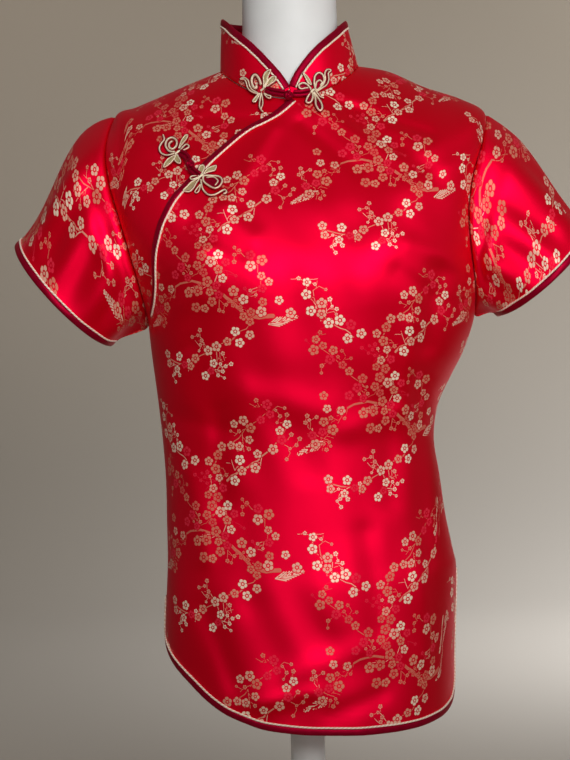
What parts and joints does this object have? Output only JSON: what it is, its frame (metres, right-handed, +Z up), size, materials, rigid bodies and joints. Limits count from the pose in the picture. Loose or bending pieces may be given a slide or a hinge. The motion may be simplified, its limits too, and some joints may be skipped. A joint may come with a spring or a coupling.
{
  "type": "cheongsam blouse on a dress form",
  "caption": "Short-sleeved cheongsam blouse of red plum-blossom satin brocade with flower frogs, buttoned on a white limbless dress form with a pole and round base.",
  "frame": {"origin": "centre of the base plate's underside, on the floor", "axes": "+Z up, -Y the front of the blouse, +X the wearer's left"},
  "size_m": [0.5835, 0.3, 0.992],
  "materials": {
    "brocade": "bright red satin brocade with gold, salmon and red plum-blossom branches",
    "binding_satin": "plain crimson satin",
    "gold_cord": "pale gold twisted cord",
    "frog_strip": "stiffened satin strip edged with pale gold cord",
    "form_shell": "smooth matt off-white",
    "form_metal": "satin white paint"
  },
  "bodies": {
    "root": {"front_panel": "brocade", "shoulder_panel": "brocade", "back_panel": "brocade", "sleeve_right": "brocade", "sleeve_left": "brocade", "collar": "brocade", "opening_binding": "binding_satin", "opening_piping": "gold_cord", "front_hem_binding": "binding_satin", "front_hem_piping": "gold_cord", "back_hem_binding": "binding_satin", "back_hem_piping": "gold_cord", "sleeve_right_binding": "binding_satin", "sleeve_right_piping": "gold_cord", "sleeve_left_binding": "binding_satin", "sleeve_left_piping": "gold_cord", "collar_binding": "binding_satin", "collar_piping": "gold_cord", "frog_collar_right": "frog_strip", "frog_collar_left": "frog_strip", "frog_upper": "frog_strip", "frog_lower": "frog_strip", "knot_collar": "binding_satin", "knot_opening": "binding_satin", "form_body": "form_shell", "form_pole": "form_metal", "form_base": "form_metal"}
  },
  "joints": []
}
